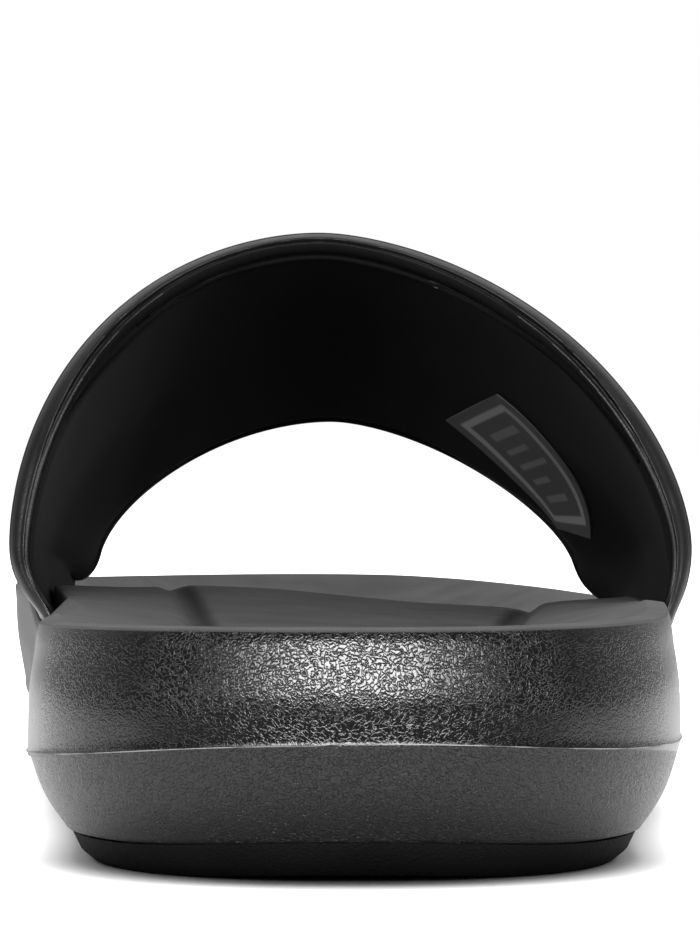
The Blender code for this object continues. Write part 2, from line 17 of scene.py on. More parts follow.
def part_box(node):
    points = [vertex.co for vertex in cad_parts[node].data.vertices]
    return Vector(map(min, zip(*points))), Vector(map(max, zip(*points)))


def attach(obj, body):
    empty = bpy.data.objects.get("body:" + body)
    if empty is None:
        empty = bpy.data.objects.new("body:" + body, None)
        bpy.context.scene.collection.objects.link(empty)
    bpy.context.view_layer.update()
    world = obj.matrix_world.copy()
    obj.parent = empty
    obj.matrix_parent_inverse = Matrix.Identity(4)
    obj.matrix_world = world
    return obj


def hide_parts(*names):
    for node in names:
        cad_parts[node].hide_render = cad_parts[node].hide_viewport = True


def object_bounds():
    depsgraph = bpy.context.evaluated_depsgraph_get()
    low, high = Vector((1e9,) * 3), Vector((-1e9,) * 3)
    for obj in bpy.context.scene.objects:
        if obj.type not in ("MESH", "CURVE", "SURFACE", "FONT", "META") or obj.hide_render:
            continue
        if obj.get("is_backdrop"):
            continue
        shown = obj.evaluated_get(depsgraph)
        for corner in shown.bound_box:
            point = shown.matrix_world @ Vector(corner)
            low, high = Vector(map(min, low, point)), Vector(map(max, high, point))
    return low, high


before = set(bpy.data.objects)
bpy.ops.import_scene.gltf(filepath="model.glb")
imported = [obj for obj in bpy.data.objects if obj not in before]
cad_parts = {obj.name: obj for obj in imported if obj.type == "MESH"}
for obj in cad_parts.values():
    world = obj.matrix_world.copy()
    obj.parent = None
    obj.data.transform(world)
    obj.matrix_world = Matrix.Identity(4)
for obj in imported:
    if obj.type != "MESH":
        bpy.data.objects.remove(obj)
cad_low, cad_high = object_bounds()

MM = 0.001
print("CAD box in mm:", [round(v / MM, 1) for v in cad_high - cad_low])

# %% [markdown]
# ## Helpers for working by hand
#
# Blender's operators act on whatever is selected, just as they do when you click. Each helper
# below first deselects everything, then picks one piece, so that no operator touches a CAD solid.

# %% Select one piece and apply a modifier
def pick(piece):
    """Makes this the only selected piece, and the active one."""
    bpy.ops.object.select_all(action="DESELECT")
    piece.select_set(True)
    bpy.context.view_layer.objects.active = piece


def apply_modifier(piece, kind, **settings):
    """Adds a modifier with these settings and applies it at once."""
    pick(piece)
    modifier = piece.modifiers.new(kind.title(), kind)
    for name, value in settings.items():
        setattr(modifier, name, value)
    bpy.ops.object.modifier_apply(modifier=modifier.name)


def soften(piece, levels):
    """Rounds a mesh with a subdivision surface."""
    apply_modifier(piece, "SUBSURF", levels=levels, render_levels=levels)


def triangles(piece):
    return sum(len(face.vertices) - 2 for face in piece.data.polygons)


# %% [markdown]
# ## A clean copy of a CAD solid
#
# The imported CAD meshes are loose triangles: every triangle has its own three corners. Merging
# the corners joins them, and turning pairs of triangles back into quads gives the even grid that
# a subdivision surface needs. The CAD solid itself stays as it is.

# %% Copy, merge and make quads
MERGE_DISTANCE = 0.02 * MM


def cad_copy(node, name):
    """A new piece with the merged, quad-faced mesh of a CAD solid."""
    piece = bpy.data.objects.new(name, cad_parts[node].data.copy())
    bpy.context.scene.collection.objects.link(piece)
    piece.data.name = name
    piece.data.materials.clear()
    pick(piece)
    bpy.ops.mesh.customdata_custom_splitnormals_clear()
    bpy.ops.object.mode_set(mode="EDIT")
    bpy.ops.mesh.select_all(action="SELECT")
    bpy.ops.mesh.remove_doubles(threshold=MERGE_DISTANCE)
    bpy.ops.mesh.tris_convert_to_quads(face_threshold=math.pi, shape_threshold=math.pi)
    bpy.ops.mesh.normals_make_consistent(inside=False)
    bpy.ops.object.mode_set(mode="OBJECT")
    bpy.ops.object.shade_smooth()
    print(name, "starts with", len(piece.data.polygons), "faces")
    return piece

# %% [markdown]
# ## The camera
#
# The picture is taken from half a metre behind the heel, level and 50 mm over the floor, with
# a long lens. The sensor is 36 mm along the picture's long side. The two small shifts put the
# shoe a little off the middle of the frame, as a photographer's crop does.

# %% Place the camera
HEEL_X = 3.2 * MM  # the heel's own middle
HEEL_Y = cad_low.y
PHOTO_HEIGHT = 933
LONG_LENS = 4320.0  # the focal length in pixels of the picture
SHIFT_X, SHIFT_Y = -4.0, -9.5  # in pixels too
CAMERA_BACK = 0.5  # from the heel
CAMERA_HEIGHT = 0.050

camera_data = bpy.data.cameras.new("camera")
camera_data.sensor_width = 36.0
camera_data.lens = LONG_LENS * camera_data.sensor_width / PHOTO_HEIGHT
camera_data.shift_x = SHIFT_X / PHOTO_HEIGHT
camera_data.shift_y = SHIFT_Y / PHOTO_HEIGHT
camera_data.clip_start = 0.05
camera_data.clip_end = 30.0
camera = bpy.data.objects.new("camera", camera_data)
camera.location = (HEEL_X, HEEL_Y - CAMERA_BACK, CAMERA_HEIGHT)
camera.rotation_euler = (math.radians(90), 0.0, 0.0)
bpy.context.scene.collection.objects.link(camera)
bpy.context.scene.camera = camera
bpy.context.scene.view_settings.view_transform = "Standard"
print("lens", round(camera_data.lens, 1), "mm")

# %% [markdown]
# ## Studio light
#
# A black shoe is drawn by what it mirrors. The white room beside and behind it gives the pale
# edges, the dark side of the room behind the camera keeps the middle black, and one softbox over
# the camera draws the broad sparkle on the heel. The world colour is built from the direction of
# each ray: dark towards the camera, white behind the shoe, brightest overhead. The camera itself
# sees plain white.

# %% Build the white room
FRONT_GLOW = 0.05
ROOM_GLOW = 0.70
WALL_TURN = (-0.45, 0.50)  # the directions along Y between which dark turns to white
OVERHEAD_GLOW = 1.8
OVERHEAD_START = 0.45  # how far up it begins
OVERHEAD_TILT = 0.35  # how far the brightest part of the ceiling lies towards the toe


def new_node(tree, kind, **settings):
    node = tree.nodes.new(kind)
    for name, value in settings.items():
        setattr(node, name, value)
    return node


def map_range(tree, source, low, high, to_low, to_high, smooth=True):
    """A Map Range node that turns low..high into to_low..to_high."""
    node = new_node(tree, "ShaderNodeMapRange")
    node.interpolation_type = "SMOOTHSTEP" if smooth else "LINEAR"
    for name, value in (
        ("From Min", low),
        ("From Max", high),
        ("To Min", to_low),
        ("To Max", to_high),
    ):
        node.inputs[name].default_value = value
    tree.links.new(source, node.inputs["Value"])
    return node.outputs["Result"]


def math_node(tree, operation, first, second):
    """A Math node. Each operand is a socket or a number."""
    node = new_node(tree, "ShaderNodeMath", operation=operation)
    for socket, value in zip(node.inputs, (first, second)):
        if isinstance(value, (int, float)):
            socket.default_value = value
        else:
            tree.links.new(value, socket)
    return node.outputs["Value"]


world = bpy.data.worlds.new("white_room")
bpy.context.scene.world = world
world.use_nodes = True
room = world.node_tree
room.nodes.clear()
direction = new_node(room, "ShaderNodeTexCoord").outputs["Generated"]
axes = new_node(room, "ShaderNodeSeparateXYZ")
room.links.new(direction, axes.inputs["Vector"])
walls = map_range(room, axes.outputs["Y"], *WALL_TURN, FRONT_GLOW, ROOM_GLOW)
towards_toe = math_node(room, "MULTIPLY", axes.outputs["Y"], OVERHEAD_TILT)
overhead = math_node(room, "ADD", axes.outputs["Z"], towards_toe)
ceiling = map_range(room, overhead, OVERHEAD_START, 1.0, 0.0, OVERHEAD_GLOW)
glow = math_node(room, "ADD", walls, ceiling)
seen = new_node(room, "ShaderNodeLightPath").outputs["Is Camera Ray"]
mix = new_node(room, "ShaderNodeMix", data_type="FLOAT")
room.links.new(seen, mix.inputs["Factor"])
room.links.new(glow, mix.inputs["A"])
mix.inputs["B"].default_value = 1.0
background = new_node(room, "ShaderNodeBackground")
background.inputs["Color"].default_value = (1.0, 1.0, 1.0, 1.0)
room.links.new(mix.outputs["Result"], background.inputs["Strength"])
output = new_node(room, "ShaderNodeOutputWorld")
room.links.new(background.outputs["Background"], output.inputs["Surface"])

# %% [markdown]
# The softbox is brightest in its middle: five ellipses, one in the other, each add to the glow.
# Each hangs a little in front of the wider one, since the gloss counts lights that lie at the
# very same place only once.

# %% Hang the softbox over the camera
SOFTBOX_PLACE = (0.0, -1.62, 0.48)
HEEL_MIDDLE_Z = 0.02
SOFTBOX_RINGS = (
    (3.80, 0.46, 3.0),  # width, height, glow
    (2.90, 0.44, 4.0),
    (2.10, 0.41, 6.5),
    (1.45, 0.36, 10.5),
    (0.95, 0.30, 16.0),
)
RING_STEP = 0.01

softboxes = []
aim = (Vector((0.0, HEEL_Y, HEEL_MIDDLE_Z)) - Vector(SOFTBOX_PLACE)).normalized()
for number, (width, height, ring_glow) in enumerate(SOFTBOX_RINGS):
    softbox_data = bpy.data.lights.new("softbox", "AREA")
    softbox_data.shape = "ELLIPSE"
    softbox_data.size, softbox_data.size_y = width, height
    softbox_data.energy = ring_glow * math.pi * (math.pi * width * height / 4)
    softbox = bpy.data.objects.new("softbox", softbox_data)
    softbox.location = Vector(SOFTBOX_PLACE) + aim * RING_STEP * number
    softbox.rotation_euler = aim.to_track_quat("-Z", "Y").to_euler()
    bpy.context.scene.collection.objects.link(softbox)
    softboxes.append(softbox)

# %% [markdown]
# ## The floor
#
# A plain white sheet, wide enough that its edge lies beyond the picture. Only the shade under the
# sole shows where it is.

# %% Lay the floor
FLOOR_WIDTH = 12.0

bpy.ops.object.select_all(action="DESELECT")
bpy.ops.mesh.primitive_plane_add(size=FLOOR_WIDTH, location=(0.0, 0.0, 0.0))
floor = bpy.context.active_object
floor.name = "floor"
paper = bpy.data.materials.new("white_paper")
paper.use_nodes = True
paper_shader = paper.node_tree.nodes["Principled BSDF"]
paper_shader.inputs["Base Color"].default_value = (0.92, 0.92, 0.92, 1.0)
paper_shader.inputs["Roughness"].default_value = 0.9
paper_shader.inputs["Specular IOR Level"].default_value = 0.1
floor.data.materials.append(paper)
floor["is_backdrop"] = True

# %% [markdown]
# The softbox is linked away from the sheet, so that the shade stays deep: it is there for the
# gloss on the shoe alone. The sheet has a lamp of its own overhead, which leaves the shoe alone.
# A black card lies on the sheet just outside the picture, so that the heel's wall doesn't mirror
# white paper there. Only the gloss sees the card: the camera, shadows and soft light don't.

# %% Give the floor its own lamp, and lay the black card
FLOOR_LAMP_POWER = 60.0
FLOOR_LAMP_SIZE = 1.6
FLOOR_LAMP_PLACE = (0.0, 0.25, 1.6)
CARD_SIZE = (1.6, 1.0)
CARD_START = -0.235  # just outside the picture's lower edge
CARD_LIFT = 0.5 * MM

not_the_floor = bpy.data.collections.new("all_but_the_floor")
not_the_floor.objects.link(floor)
not_the_floor.collection_objects[0].light_linking.link_state = "EXCLUDE"
for softbox in softboxes:
    softbox.light_linking.receiver_collection = not_the_floor
floor_alone = bpy.data.collections.new("the_floor_alone")
floor_alone.objects.link(floor)
floor_lamp_data = bpy.data.lights.new("floor_lamp", "AREA")
floor_lamp_data.size = FLOOR_LAMP_SIZE
floor_lamp_data.energy = FLOOR_LAMP_POWER
floor_lamp = bpy.data.objects.new("floor_lamp", floor_lamp_data)
floor_lamp.location = FLOOR_LAMP_PLACE
floor_lamp.light_linking.receiver_collection = floor_alone
bpy.context.scene.collection.objects.link(floor_lamp)

bpy.ops.object.select_all(action="DESELECT")
card_middle = (0.0, CARD_START - CARD_SIZE[1] / 2, CARD_LIFT)
bpy.ops.mesh.primitive_plane_add(size=1.0, location=card_middle)
card = bpy.context.active_object
card.name = "black_card"
card.scale = (*CARD_SIZE, 1.0)
bpy.ops.object.transform_apply(location=True, rotation=False, scale=True)
card.visible_camera = False
card.visible_shadow = False
card.visible_diffuse = False
black_paper = bpy.data.materials.new("black_paper")
black_paper.use_nodes = True
black_shader = black_paper.node_tree.nodes["Principled BSDF"]
black_shader.inputs["Base Color"].default_value = (0.01, 0.01, 0.01, 1.0)
black_shader.inputs["Roughness"].default_value = 1.0
black_shader.inputs["Specular IOR Level"].default_value = 0.0
card.data.materials.append(black_paper)
card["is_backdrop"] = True

# %% [markdown]
# ## The sole's foam body
#
# The sole is one block of foam from a mould. A subdivision surface over the CAD copy gives its
# long soft curves. It would also melt the edges that the mould keeps crisp, so the sharp edges
# are found by their angle and creased first: the sharper, the harder. Round the heel the rim is
# crisper still. Its ring of points is found by the way it faces, and is fattened out a little.

# %% Crease the sharp edges of the foam and round the rest
SHARP = (math.radians(44), 0.50)  # the least angle, and the crease that it adds
TURNED = (math.radians(24), 0.42)
RIM_FACING = (0.62, 0.92)  # how much the ring of the rim looks up
RIM_LEAST_HEIGHT = 26.0 * MM
RIM_END = -40.0 * MM  # the strap's slots start past here
RIM_OUT = 0.45 * MM


def crease_sharp_edges(piece, angle, crease):
    """Creases the edges where two faces meet at more than this angle."""
    pick(piece)
    bpy.ops.object.mode_set(mode="EDIT")
    bpy.ops.mesh.select_mode(type="EDGE")
    bpy.ops.mesh.select_all(action="DESELECT")
    bpy.ops.mesh.edges_select_sharp(sharpness=angle)
    bpy.ops.transform.edge_crease(value=crease)
    bpy.ops.object.mode_set(mode="OBJECT")


sole_foam = cad_copy("midsole", "sole_foam")


def on_heel_rim(vertex):
    high = vertex.co.z > RIM_LEAST_HEIGHT and vertex.co.y < RIM_END
    out = Vector((vertex.co.x - HEEL_X, vertex.co.y - RIM_END, 0.0)).normalized()
    facing_out = vertex.normal.dot(out) > 0.3
    return high and facing_out and RIM_FACING[0] < vertex.normal.z < RIM_FACING[1]


pick(sole_foam)
bpy.ops.object.mode_set(mode="EDIT")
bpy.ops.mesh.select_mode(type="VERT")
bpy.ops.mesh.select_all(action="DESELECT")
bpy.ops.object.mode_set(mode="OBJECT")
for vertex in sole_foam.data.vertices:
    vertex.select = on_heel_rim(vertex)
print("the heel's rim has", sum(v.select for v in sole_foam.data.vertices), "points")
bpy.ops.object.mode_set(mode="EDIT")
bpy.ops.transform.shrink_fatten(value=RIM_OUT)
bpy.ops.object.mode_set(mode="OBJECT")
for angle, crease in (TURNED, SHARP):
    crease_sharp_edges(sole_foam, angle, crease)
soften(sole_foam, 2)
print("sole_foam has", triangles(sole_foam), "triangles")

# %% [markdown]
# ## The mould's flash line
#
# Where the two halves of the mould met, a hair of foam was squeezed out all round the sole. At
# the back of the heel the two halves were a little out of line, so the hair has a step there.
# The ridge is already in the foam, so the hair is drawn from it: the ridge's own edge loop is
# copied off as a new piece and extruded, one side is drawn out of the foam and the other in, and
# the fin gets a thin wall.

# %% Copy the ridge's edge loop and extrude it into a fin
FLASH_OUT = 0.09 * MM
FLASH_IN = 0.30 * MM
FLASH_WALL = 0.10 * MM
STEP_AT = HEEL_X - 4.2 * MM
STEP_LENGTH = 2.2 * MM
STEP_UP = 0.26 * MM


def ramp(value, start, end):
    """0 before start, 1 after end, and a soft step between."""
    t = min(max((value - start) / (end - start), 0.0), 1.0)
    return t * t * (3 - 2 * t)


heel_tip = min(sole_foam.data.vertices, key=lambda v: v.co.y)
ring_edge = min(
    (e for e in sole_foam.data.edges if heel_tip.index in e.vertices),
    key=lambda e: abs(
        sole_foam.data.vertices[e.vertices[0]].co.z - sole_foam.data.vertices[e.vertices[1]].co.z
    ),
)
ridge_index = ring_edge.index
pick(sole_foam)
bpy.ops.object.mode_set(mode="EDIT")
bpy.ops.mesh.select_mode(type="EDGE")
bpy.ops.mesh.select_all(action="DESELECT")
bpy.ops.object.mode_set(mode="OBJECT")
sole_foam.data.edges[ridge_index].select = True
bpy.ops.object.mode_set(mode="EDIT")
bpy.ops.mesh.loop_multi_select(ring=False)
bpy.ops.mesh.duplicate()
bpy.ops.mesh.separate(type="SELECTED")
bpy.ops.object.mode_set(mode="OBJECT")
parting_flash = next(o for o in bpy.context.selected_objects if o is not sole_foam)
parting_flash.name = "parting_flash"
pick(parting_flash)
print("the ridge has", len(parting_flash.data.vertices), "points")

half_width = (cad_high.x - cad_low.x) / 2
foam_surface = BVHTree.FromObject(sole_foam, bpy.context.evaluated_depsgraph_get())
bpy.ops.object.mode_set(mode="EDIT")
bpy.ops.mesh.select_all(action="SELECT")
bpy.ops.mesh.extrude_edges_move()
bpy.ops.object.mode_set(mode="OBJECT")
for vertex in parting_flash.data.vertices:
    _, normal, _, _ = foam_surface.find_nearest(vertex.co)
    away = Vector((normal.x, normal.y, 0.0)).normalized()
    vertex.co += away * (FLASH_OUT if vertex.select else -FLASH_IN)
    if vertex.co.y < 0:
        past_step = ramp(vertex.co.x, STEP_AT, STEP_AT + STEP_LENGTH)
        fading = 1 - ramp(vertex.co.x, 0.0, half_width * 0.8)
        vertex.co.z += STEP_UP * past_step * fading
apply_modifier(parting_flash, "SOLIDIFY", thickness=FLASH_WALL, offset=0.0)
bpy.ops.object.shade_smooth_by_angle(angle=math.radians(40))

# %% [markdown]
# ## The rubber tread
#
# The underside is never in the picture, but a shoe is picked up and turned over. Each lug that is
# wide enough gets a shallow sunk panel with a raised pad in it, made with four insets: an inset
# wider than its face would turn the face over. A small bevel takes the knife edge off the rubber.

# %% Sink a panel into each lug
LUG_HIGHEST = 9 * MM  # the tread rises towards the toe
LUG_FACING = -0.97
LUG_BORDER = 19 * MM  # the ends of the sole, left plain
LUG_LEAST_AREA = 60 * MM * MM
LUG_LEAST_WIDTH = 4.6 * MM  # twice the area through the outline; narrower ones have no room
PANEL_MARGIN = 1.2 * MM
PANEL_DEPTH = 0.6 * MM
PANEL_WALL = 0.3 * MM
PAD_MARGIN = 0.7 * MM
PAD_RISE = 0.8  # its height, as a share of the panel's depth
RUBBER_BEVEL = 0.3 * MM
GLUE_GAP = 0.28 * MM  # between the CAD solids of tread and foam, closed here


def select_faces(piece, wanted):
    """Selects the faces for which wanted(face) is true, and goes into edit mode."""
    pick(piece)
    bpy.ops.object.mode_set(mode="EDIT")
    bpy.ops.mesh.select_mode(type="FACE")
    bpy.ops.mesh.select_all(action="DESELECT")
    bpy.ops.object.mode_set(mode="OBJECT")
    for face in piece.data.polygons:
        face.select = wanted(face)
    count = sum(face.select for face in piece.data.polygons)
    bpy.ops.object.mode_set(mode="EDIT")
    return count


tread = cad_copy("outsole", "tread")
select_faces(tread, lambda face: face.normal.z > 0.9)
bpy.ops.transform.translate(value=(0, 0, GLUE_GAP))
bpy.ops.object.mode_set(mode="OBJECT")


def is_lug(face):
    low = face.center.z < LUG_HIGHEST and face.normal.z < LUG_FACING
    inside = abs(face.center.y) < cad_high.y - LUG_BORDER
    corners = [tread.data.vertices[i].co for i in face.vertices]
    outline = sum((a - b).length for a, b in zip(corners, corners[1:] + corners[:1]))
    wide = face.area > LUG_LEAST_AREA and 2 * face.area / outline > LUG_LEAST_WIDTH
    return low and inside and wide


lugs = select_faces(tread, is_lug)
bpy.ops.mesh.inset(thickness=PANEL_MARGIN, use_individual=True)
bpy.ops.mesh.inset(thickness=PANEL_WALL, depth=-PANEL_DEPTH, use_individual=True)
bpy.ops.mesh.inset(thickness=PAD_MARGIN, use_individual=True)
bpy.ops.mesh.inset(thickness=PANEL_WALL, depth=PANEL_DEPTH * PAD_RISE, use_individual=True)
bpy.ops.object.mode_set(mode="OBJECT")
apply_modifier(
    tread,
    "BEVEL",
    width=RUBBER_BEVEL,
    segments=2,
    limit_method="ANGLE",
    angle_limit=math.radians(30),
)
pick(tread)
bpy.ops.object.shade_smooth_by_angle(angle=math.radians(35))
print("tread has", lugs, "lugs with panels and", triangles(tread), "triangles")

# %% [markdown]
# ## The strap
#
# The strap is a sandwich: smooth synthetic leather outside, thin foam, and a soft dark lining
# inside. Both faces are taken from the CAD copy. The ends are bevelled before the subdivision, so
# that leather and lining roll in towards the seams beside the bound edges.

# %% Round the strap's solid
STRAP_CORNER = 0.55 * MM
ARCH_X = -2.5 * MM  # the middle of the arch
WIDEST_Z = 36.0 * MM  # the height where the strap is widest


def outward(point):
    """The direction out of the arch at a point: sideways low down, and round over the foot."""
    return Vector((point.x - ARCH_X, 0.0, max(point.z - WIDEST_Z, 0.0))).normalized()


strap_body = cad_copy("strap", "strap_skin")
apply_modifier(
    strap_body,
    "BEVEL",
    width=STRAP_CORNER,
    segments=2,
    limit_method="ANGLE",
    angle_limit=math.radians(50),
)
soften(strap_body, 2)

# %% [markdown]
# Soft goods are never as even as a drawing. The lining swells a little between its seams and has
# a few long, shallow waves, and the leather has faint hollows where the strap flexes. Moving the
# points of the mesh by hand in code does what a sculpting brush would.

# %% Let the padding swell and place the soft waves
LINING_SWELL = 0.45 * MM
SEAM_FADE = (1.0 * MM, 6.0 * MM)  # from the seam to the full swell
FOOT_FADE = (31.0 * MM, 38.0 * MM)  # heights from the sole to the free part of the strap
STRAP_FOOT_Z = 30 * MM
ROLL_WIDTH = 3.6 * MM
PAST_ROLL = 3.9 * MM  # from a bound edge to where the swelling may start
DENT = 0.22 * MM
DENTS_PER_METRE = 45.0

back_low, back_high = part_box("strap_back_edge")
front_low, front_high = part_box("strap_front_edge")


def edge_y(point, foot_y, top_y):
    """Where a bound edge lies at the height of a point."""
    height = (point.z - STRAP_FOOT_Z) / (back_high.z - STRAP_FOOT_Z)
    side = math.sqrt(max(1 - height, 0.0))
    return top_y + (foot_y - top_y) * side


# Each wave: the x and y of a point on its line, how wide it is and how deep.
WAVES = (
    (-0.038, 0.012, 0.0060, 0.35 * MM),
    (-0.028, 0.030, 0.0050, -0.25 * MM),
    (0.036, 0.020, 0.0070, 0.30 * MM),
    (0.026, 0.000, 0.0055, -0.20 * MM),
)
WAVE_SLANT = 0.25


def wave_at(point):
    total = 0.0
    for x, y, width, depth in WAVES:
        across = (point.x - x) + WAVE_SLANT * (point.y - y)
        total += depth * math.exp(-((across / width) ** 2))
    return total


bpy.context.view_layer.update()
normals = [v.normal.copy() for v in strap_body.data.vertices]
for vertex, normal in zip(strap_body.data.vertices, normals):
    point = vertex.co
    facing = normal.dot(outward(point))
    free = ramp(point.z, *FOOT_FADE)
    to_back = point.y - edge_y(point, back_low.y, back_high.y - ROLL_WIDTH) - PAST_ROLL
    to_front = edge_y(point, front_high.y, front_low.y + ROLL_WIDTH) - PAST_ROLL - point.y
    away = ramp(min(to_back, to_front), *SEAM_FADE)
    if facing < -0.2:
        vertex.co = point + normal * (LINING_SWELL * away * free + wave_at(point) * away * free)
    elif facing > 0.2:
        dent = DENT * noise.noise(point * DENTS_PER_METRE)
        vertex.co = point + normal * dent * away * free
print("strap has", triangles(strap_body), "triangles")

# %% [markdown]
# Now the two faces part. The faces that look into the arch are selected by their direction and
# separated, and each side gets its own thin wall.

# %% Part the lining from the leather
SKIN_WALL = 0.9 * MM
LINING_WALL = 0.8 * MM
INSIDE = 0.3  # a face that looks out of the arch less than this is lining


def looks_inside(face):
    return face.normal.dot(outward(face.center)) < INSIDE


select_faces(strap_body, looks_inside)
bpy.ops.mesh.separate(type="SELECTED")
bpy.ops.object.mode_set(mode="OBJECT")
strap_skin = strap_body
strap_lining = next(o for o in bpy.context.selected_objects if o is not strap_skin)
strap_lining.name = "strap_lining"
apply_modifier(strap_skin, "SOLIDIFY", thickness=SKIN_WALL, offset=-1.0)
apply_modifier(strap_lining, "SOLIDIFY", thickness=LINING_WALL, offset=-1.0)
for piece in (strap_skin, strap_lining):
    pick(piece)
    bpy.ops.object.shade_smooth()
    print(piece.name, "has", triangles(piece), "triangles")

# %% [markdown]
# ## The bound edges
#
# The leather is rolled round the edge of the strap and sewn down, so the edge is a soft tube with
# a seam along it. Seen from behind, the seam runs halfway through the edge at the top and near
# its inner side at the flanks. The tube leans away from the seam, and the pull of the thread
# puckers it. All three are pressed into a subdivided copy of the CAD bead.

# %% Press the seam and the puckers into the rolled edges
SEAM_DEPTH = 0.70 * MM
SEAM_HALF_WIDTH = 0.16
ROLL_PUFF = 0.22 * MM
ROLL_LEAN = 0.60 * MM
PUCKER_DEPTH = 0.16 * MM
RIDGE_HEIGHT = 0.26 * MM  # the leather stands up beside the pull of the thread
RIDGE_ASIDE = 0.34
RIDGE_HALF_WIDTH = 0.18
PUCKERS_PER_METRE = 330.0
SEAM_AT_TOP = 0.05
SEAM_AT_SIDE = -0.72
PUCKER_ASIDE = 0.25
PUCKER_HALF_WIDTH = 0.45
# Heights from the side of the strap to its top.
SEAM_TURN = (44 * MM, 78 * MM)
RIDGE_FADE = (56 * MM, 74 * MM)
ROLL_FREE = (27 * MM, 33 * MM)


def seam_place(point):
    """Where the seam lies across the roll: 1 is its outer side, -1 its inner side."""
    return SEAM_AT_SIDE + (SEAM_AT_TOP - SEAM_AT_SIDE) * ramp(point.z, *SEAM_TURN)


def rolled_edge(node, name, away):
    """A bound edge from its CAD bead. away is the side that faces out of the strap: -1 is back."""
    roll = cad_copy(node, name)
    soften(roll, 3)
    made = []
    for vertex in roll.data.vertices:
        point, normal = vertex.co.copy(), vertex.normal.copy()
        across = normal.dot(outward(point))
        outside = ramp(normal.y * away, 0.0, 0.45)
        seam = seam_place(point)
        gap = (across - seam) / SEAM_HALF_WIDTH
        groove = math.exp(-gap * gap)
        free = ramp(point.z, *ROLL_FREE)
        lean = ROLL_LEAN * ramp(across, seam, 1.0) * outside * free
        ridge = RIDGE_HEIGHT * math.exp(-(((across - seam - RIDGE_ASIDE) / RIDGE_HALF_WIDTH) ** 2))
        ridge *= 1 - ramp(point.z, *RIDGE_FADE)
        beside = (across - seam - PUCKER_ASIDE) / PUCKER_HALF_WIDTH
        pucker_room = math.exp(-(beside**2))
        pucker = noise.noise(point * PUCKERS_PER_METRE) * PUCKER_DEPTH * pucker_room
        puff = ROLL_PUFF * ramp(across, -0.2, 0.6)
        move = normal * ((pucker + ridge - SEAM_DEPTH * groove) * outside + puff) * free
        move.y -= away * lean
        made.append(point + move)
    for vertex, point in zip(roll.data.vertices, made):
        vertex.co = point
    print(name, "has", triangles(roll), "triangles")
    return roll


back_roll = rolled_edge("strap_back_edge", "back_roll", -1)
front_roll = rolled_edge("strap_front_edge", "front_roll", 1)

# %% [markdown]
# ## The size label
#
# A thin woven patch is pressed on the lining, on the outer side of the foot. A grid is added,
# spread between the patch's corners, and every point is dropped on the lining below it. The
# print on the real one is left off: plain bars stand for it.

# %% Lay the label on the lining
LABEL_CORNERS = (
    Vector((18.1, 42.5, 56.2)) * MM,  # upper front
    Vector((25.4, 18.3, 59.9)) * MM,  # upper back
    Vector((41.6, 46.2, 37.1)) * MM,  # lower back
    Vector((36.4, 56.5, 38.6)) * MM,  # lower front
)
LABEL_BOW = Vector((1.8, -6.0, 2.0)) * MM  # how far its back side curves out
LABEL_WALL = 0.22 * MM
LABEL_COLUMNS, LABEL_ROWS = 24, 36

bpy.ops.object.select_all(action="DESELECT")
bpy.ops.mesh.primitive_grid_add(
    x_subdivisions=LABEL_COLUMNS, y_subdivisions=LABEL_ROWS, size=1.0, calc_uvs=True
)
label = bpy.context.active_object
label.name = "label"
lining_tree = BVHTree.FromObject(strap_lining, bpy.context.evaluated_depsgraph_get())
upper_front, upper_back, lower_back, lower_front = LABEL_CORNERS
for vertex in label.data.vertices:
    across, down = vertex.co.x + 0.5, 0.5 - vertex.co.y
    back = upper_back.lerp(lower_back, down) + LABEL_BOW * (4 * down * (1 - down))
    front = upper_front.lerp(lower_front, down)
    wanted = front.lerp(back, across)
    inside = Vector((ARCH_X, wanted.y, WIDEST_Z))
    place, normal, _, _ = lining_tree.ray_cast(inside, wanted - inside)
    vertex.co = place + normal * LABEL_WALL * 0.5
apply_modifier(label, "SOLIDIFY", thickness=LABEL_WALL, offset=0.0)
pick(label)
bpy.ops.object.mode_set(mode="EDIT")
bpy.ops.mesh.select_all(action="SELECT")
bpy.ops.mesh.normals_make_consistent(inside=False)
bpy.ops.object.mode_set(mode="OBJECT")
bpy.ops.object.shade_smooth_by_angle(angle=math.radians(40))
print("label has", triangles(label), "triangles")

# %% [markdown]
# ## Grain, as a node group
#
# Rubber and leather both have a grain, and only its size and depth differ. So it is built
# once, as a group with named inputs. A Voronoi pattern gives the pebbles, noise bends them so
# that no two are alike, and a finer noise breaks their tops.

# %% Build the pebble grain group
def new_group(name, inputs, outputs):
    """A shader node group with these float inputs (name, default) and float outputs."""
    tree = bpy.data.node_groups.new(name, "ShaderNodeTree")
    for socket, default in inputs:
        made = tree.interface.new_socket(socket, in_out="INPUT", socket_type="NodeSocketFloat")
        made.default_value = default
    for socket in outputs:
        tree.interface.new_socket(socket, in_out="OUTPUT", socket_type="NodeSocketFloat")
    entry = new_node(tree, "NodeGroupInput")
    leave = new_node(tree, "NodeGroupOutput")
    return tree, entry, leave


